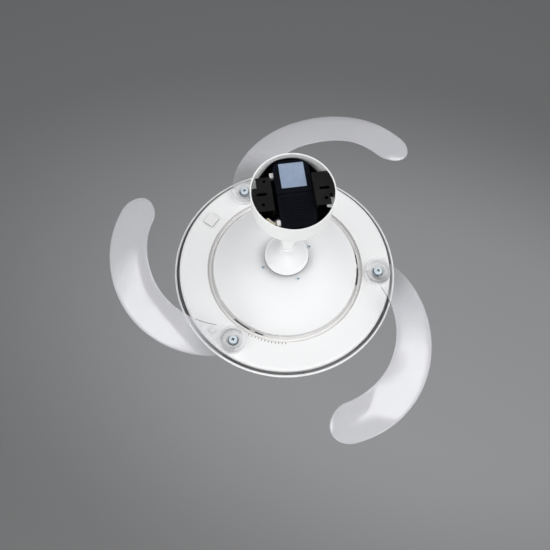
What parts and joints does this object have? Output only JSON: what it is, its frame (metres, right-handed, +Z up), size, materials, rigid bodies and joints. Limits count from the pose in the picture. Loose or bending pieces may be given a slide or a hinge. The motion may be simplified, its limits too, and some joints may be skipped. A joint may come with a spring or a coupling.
{
  "type": "retractable blade ceiling fan",
  "caption": "Ceiling fan with a round lamp: curved clear blades pivot out from over a spinning plate and fold back onto it, hung on a short rod from a canopy.",
  "frame": {"origin": "in the ceiling plane, at the centre of the ceiling bracket's two slots, on the fan's axis", "axes": "+Z up along the rod towards the ceiling, X along the line through the bracket's two slots"},
  "size_m": [0.7158, 0.7914, 0.464],
  "materials": {
    "bracket_steel": "satin",
    "white_metal": "satin",
    "black_plastic": "matte",
    "white_plastic": "gloss",
    "yellow_wire": "gloss",
    "white_wire": "gloss",
    "violet_wire": "gloss",
    "steel": "satin",
    "cast_alloy": "matte",
    "copper": "gloss",
    "magnet": "matte",
    "clear_blade": "gloss",
    "opal": "satin",
    "board": "satin",
    "led": "gloss"
  },
  "bodies": {
    "ceiling_mount": {"ceiling_bracket": "bracket_steel", "canopy": "white_metal", "canopy_screws": "steel", "receiver_box": "black_plastic", "wire_connectors": "white_plastic", "yellow_lead": "yellow_wire", "white_lead": "white_wire", "violet_lead": "violet_wire"},
    "hanger": {"hanger_ball": "black_plastic", "downrod": "white_metal", "hanger_pin": "steel", "coupling_pin": "steel", "pin_clip": "steel", "shaft_yoke": "cast_alloy", "yoke_screws": "steel", "coupling_cover": "white_plastic", "rod_leads": "yellow_wire", "motor_shaft": "steel", "bearing_inner_races": "steel", "stator_core": "cast_alloy", "stator_windings": "copper", "bearing_spacer": "steel", "pan_nut": "steel", "lamp_housing": "white_metal", "lamp_pan": "white_metal", "led_board": "board", "led_chips": "led", "led_driver": "white_plastic", "lamp_screws": "steel", "diffuser": "opal", "diffuser_clips": "steel"},
    "bearing_ball_sets": {"bearing_balls": "steel"},
    "rotor": {"bearing_outer_races": "steel", "motor_top_shell": "cast_alloy", "motor_bottom_shell": "cast_alloy", "magnet_ring": "magnet", "back_iron": "steel", "shell_bolts": "steel", "dome_cover": "white_metal", "dome_screws": "steel", "blade_plate": "white_plastic", "plate_screws": "steel", "balance_pads": "white_plastic", "pivot_posts": "steel", "return_springs": "steel", "pivot_screws": "steel"},
    "blade_1_arm": {"blade_1": "clear_blade"},
    "blade_2_arm": {"blade_2": "clear_blade"},
    "blade_3_arm": {"blade_3": "clear_blade"}
  },
  "joints": [
    {"name": "hanger_tilt", "type": "hinge", "parent": "ceiling_mount", "child": "hanger", "pos_m": [0, 0, -0.062], "axis": [0, 1, 0], "range_deg": [-12, 12]},
    {"name": "rotor_spin", "type": "hinge", "parent": "hanger", "child": "rotor", "pos_m": [0, 0, -0.35], "axis": [0, 0, 1], "continuous": true},
    {"name": "balls_orbit", "type": "hinge", "parent": "hanger", "child": "bearing_ball_sets", "pos_m": [0, 0, -0.35], "axis": [0, 0, 1], "continuous": true},
    {"name": "blade_1_swing", "type": "hinge", "parent": "rotor", "child": "blade_1_arm", "pos_m": [0.20502, -0.04059, -0.362], "axis": [0, 0, 1], "range_deg": [-54, 52]},
    {"name": "blade_2_swing", "type": "hinge", "parent": "rotor", "child": "blade_2_arm", "pos_m": [-0.06735, 0.19785, -0.362], "axis": [0, 0, 1], "range_deg": [-54, 52]},
    {"name": "blade_3_swing", "type": "hinge", "parent": "rotor", "child": "blade_3_arm", "pos_m": [-0.13767, -0.15725, -0.362], "axis": [0, 0, 1], "range_deg": [-44.5, 61.5]}
  ],
  "couplings": [
    {"joint": "balls_orbit", "follows": "rotor_spin", "ratio": 0.6123}
  ]
}
